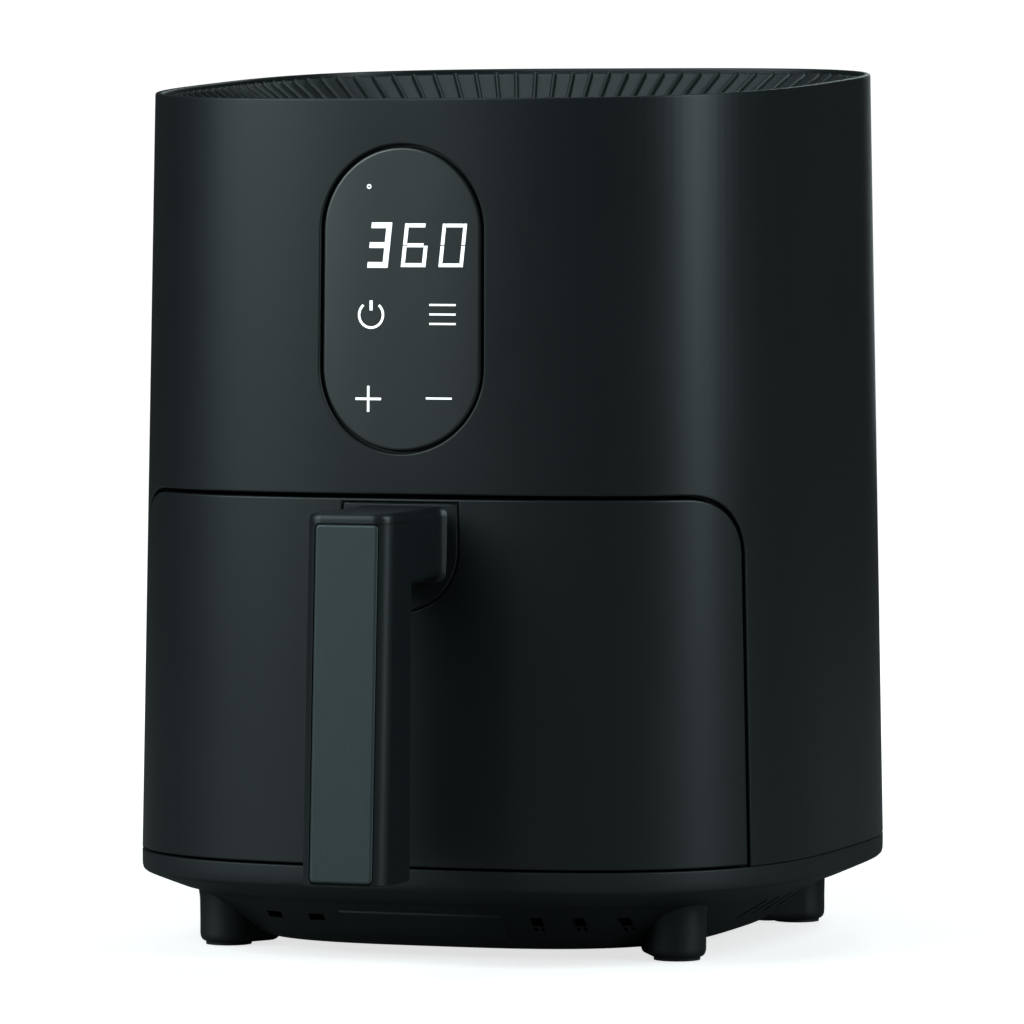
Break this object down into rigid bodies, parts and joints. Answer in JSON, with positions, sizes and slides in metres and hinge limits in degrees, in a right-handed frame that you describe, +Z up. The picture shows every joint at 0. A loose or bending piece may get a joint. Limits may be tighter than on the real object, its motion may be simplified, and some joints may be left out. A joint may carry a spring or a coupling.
{
  "type": "air fryer",
  "caption": "Compact upright air fryer with a ribbed dished top, oval touch panel, pull-out basket drawer with a bar handle, and a fan and heating ring inside.",
  "frame": {"origin": "on the floor under the centre of the whole object's bounding box, handle and cord gland included", "axes": "+Z up, the handle and control panel face -Y, +X is to the right of a person facing the front"},
  "size_m": [0.242, 0.3064, 0.3062],
  "materials": {
    "shell_black": "fine satin moulded plastic",
    "base_black": "fine matte moulded plastic",
    "inner_black": "matte heat-resistant plastic",
    "panel_gloss": "dark glossy tinted lens",
    "handle_satin": "satin grey-green metallic plastic",
    "pad_rubber": "soft black silicone rubber",
    "bay_steel": "aluminised sheet",
    "bright_steel": "zinc-plated steel",
    "element_steel": "heat-darkened steel sheath",
    "core_steel": "stacked electrical steel",
    "copper_wire": "enamelled copper winding",
    "bronze": "sintered bronze",
    "white_ceramic": "unglazed ceramic",
    "board_green": "coated circuit board",
    "light_plastic": "milky plastic",
    "relay_blue": "moulded plastic",
    "winding_yellow": "taped winding",
    "capacitor_red": "dipped plastic",
    "wire_red": "silicone-sheathed wire",
    "pan_coating": "dark non-stick coating",
    "fan_aluminium": "bare aluminium"
  },
  "bodies": {
    "cabinet": {"housing_shell": "shell_black", "top_cover": "shell_black", "base_pan": "base_black", "foot_pads": "pad_rubber", "front_frame": "inner_black", "cavity_liner": "bay_steel", "cavity_roof": "bay_steel", "heating_dome": "bay_steel", "heat_shield": "bay_steel", "heating_element": "element_steel", "element_straps": "bright_steel", "element_guard": "bright_steel", "motor_stator": "core_steel", "motor_coil": "copper_wire", "motor_brackets": "bright_steel", "motor_bearings": "bronze", "motor_mount": "bright_steel", "motor_bolts": "bright_steel", "air_guide": "inner_black", "exhaust_duct": "bay_steel", "rear_grille": "inner_black", "thermal_cutout": "white_ceramic", "temperature_sensor": "bright_steel", "touch_lens": "panel_gloss", "panel_carrier": "inner_black", "display_board": "board_green", "led_display": "light_plastic", "light_guide": "light_plastic", "touch_pads": "pad_rubber", "power_board": "board_green", "board_standoffs": "light_plastic", "relay": "relay_blue", "transformer": "winding_yellow", "filter_capacitor": "capacitor_red", "mains_wires": "wire_red", "signal_cable": "light_plastic", "cord_gland": "pad_rubber", "interlock_switch": "inner_black", "base_screws": "bright_steel"},
    "drawer": {"drawer_front": "shell_black", "drawer_back": "inner_black", "pan_bracket": "bright_steel", "pan_screws": "bright_steel", "basket_pan": "pan_coating", "handle_body": "shell_black", "handle_plate": "handle_satin", "handle_core": "bright_steel", "handle_screws": "bright_steel"},
    "crisper": {"crisper_plate": "pan_coating", "crisper_bumpers": "pad_rubber"},
    "rotor": {"convection_fan": "fan_aluminium", "fan_nut": "bright_steel", "motor_shaft": "bright_steel", "motor_rotor": "core_steel", "cooling_fan": "inner_black"},
    "switch_pin": {"interlock_plunger": "capacitor_red"}
  },
  "joints": [
    {"name": "drawer_slide", "type": "slide", "parent": "cabinet", "child": "drawer", "axis": [0, -1, 0], "range_m": [0, 0.25]},
    {"name": "crisper_lift", "type": "slide", "parent": "drawer", "child": "crisper", "axis": [0, 0, 1], "range_m": [0, 0.08]},
    {"name": "fan_spin", "type": "hinge", "parent": "cabinet", "child": "rotor", "pos_m": [0, 0.03418, 0.2], "axis": [0, 0, 1], "continuous": true},
    {"name": "switch_plunger", "type": "slide", "parent": "cabinet", "child": "switch_pin", "axis": [0, -1, 0], "range_m": [0, 0.0031]}
  ],
  "couplings": [
    {"joint": "switch_plunger", "follows": "drawer_slide", "ratio": 0.012}
  ]
}
